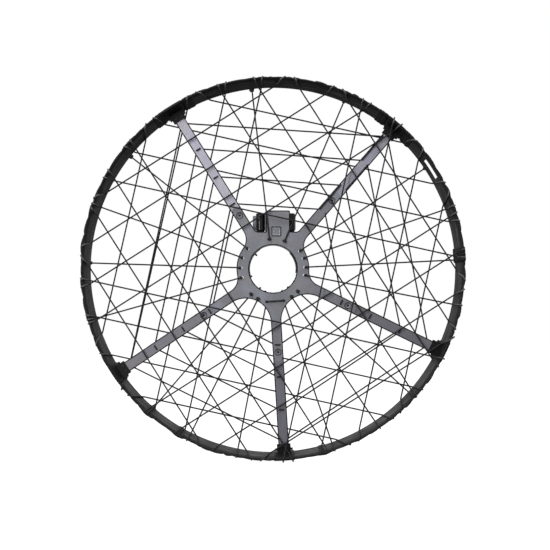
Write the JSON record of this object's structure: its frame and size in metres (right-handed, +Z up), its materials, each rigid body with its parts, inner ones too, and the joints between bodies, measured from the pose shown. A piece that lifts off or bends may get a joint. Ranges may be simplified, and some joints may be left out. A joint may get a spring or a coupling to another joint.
{
  "type": "propeller guard cage",
  "caption": "Round guard cage with a slanted hoop, flat spars, star-shaped hub plate with a round opening and a laced cord net.",
  "frame": {"origin": "centre of the hub opening, in the middle of the hub plate's thickness", "axes": "+Z up, +X to the right seen from the front, +Y backwards along the hub's axis; the front faces -Y"},
  "size_m": [1.4532, 0.11, 1.4571],
  "materials": {
    "hub_alloy": "satin grey anodised plate",
    "spar_carbon": "satin carbon laminate bar",
    "hoop_carbon": "dark streaky composite band",
    "black_trim": "matt black moulding",
    "socket_rubber": "glossy black tube",
    "bezel_alloy": "dark anodised ring",
    "button_steel": "blackened steel",
    "steel": "plain steel",
    "cord": "dark braided cord"
  },
  "bodies": {
    "cage": {"hub_plate": "hub_alloy", "badge_plate": "hub_alloy", "mount_block": "hub_alloy", "hub_collar": "black_trim", "upright_socket_left": "socket_rubber", "upright_socket_right": "socket_rubber", "block_screws": "steel", "clip_screws": "steel", "cord_knots": "cord", "spar_upper_left": "spar_carbon", "button_bezel_upper_left": "bezel_alloy", "button_cup_upper_left": "black_trim", "button_spring_upper_left": "steel", "rim_clip_upper_left": "black_trim", "spar_upper_right": "spar_carbon", "button_bezel_upper_right": "bezel_alloy", "button_cup_upper_right": "black_trim", "button_spring_upper_right": "steel", "rim_clip_upper_right": "black_trim", "spar_lower_right": "spar_carbon", "button_bezel_lower_right": "bezel_alloy", "button_cup_lower_right": "black_trim", "button_spring_lower_right": "steel", "rim_clip_lower_right": "black_trim", "spar_bottom": "spar_carbon", "button_bezel_bottom": "bezel_alloy", "button_cup_bottom": "black_trim", "button_spring_bottom": "steel", "rim_clip_bottom": "black_trim", "spar_lower_left": "spar_carbon", "button_bezel_lower_left": "bezel_alloy", "button_cup_lower_left": "black_trim", "button_spring_lower_left": "steel", "rim_clip_lower_left": "black_trim", "hoop_upper_left_to_upper_right": "hoop_carbon", "hoop_upper_right_to_lower_right": "hoop_carbon", "hoop_lower_right_to_bottom": "hoop_carbon", "hoop_bottom_to_lower_left": "hoop_carbon", "hoop_lower_left_to_upper_left": "hoop_carbon", "net_chords_rising_low": "cord", "net_chords_rising_steep": "cord", "net_chords_falling_steep": "cord", "net_chords_falling_low": "cord", "radial_cords": "cord", "web_cord": "cord"},
    "button_upper_left": {"release_button_upper_left": "button_steel"},
    "button_upper_right": {"release_button_upper_right": "button_steel"},
    "button_lower_right": {"release_button_lower_right": "button_steel"},
    "button_bottom": {"release_button_bottom": "button_steel"},
    "button_lower_left": {"release_button_lower_left": "button_steel"}
  },
  "joints": [
    {"name": "press_upper_left", "type": "slide", "parent": "cage", "child": "button_upper_left", "axis": [0, 1, 0], "range_m": [0, 0.0046], "stiffness_N_per_m": 1500, "springref_m": -0.003, "deforming": ["button_spring_upper_left"]},
    {"name": "press_upper_right", "type": "slide", "parent": "cage", "child": "button_upper_right", "axis": [0, 1, 0], "range_m": [0, 0.0046], "stiffness_N_per_m": 1500, "springref_m": -0.003, "deforming": ["button_spring_upper_right"]},
    {"name": "press_lower_right", "type": "slide", "parent": "cage", "child": "button_lower_right", "axis": [0, 1, 0], "range_m": [0, 0.0046], "stiffness_N_per_m": 1500, "springref_m": -0.003, "deforming": ["button_spring_lower_right"]},
    {"name": "press_bottom", "type": "slide", "parent": "cage", "child": "button_bottom", "axis": [0, 1, 0], "range_m": [0, 0.0046], "stiffness_N_per_m": 1500, "springref_m": -0.003, "deforming": ["button_spring_bottom"]},
    {"name": "press_lower_left", "type": "slide", "parent": "cage", "child": "button_lower_left", "axis": [0, 1, 0], "range_m": [0, 0.0046], "stiffness_N_per_m": 1500, "springref_m": -0.003, "deforming": ["button_spring_lower_left"]}
  ]
}
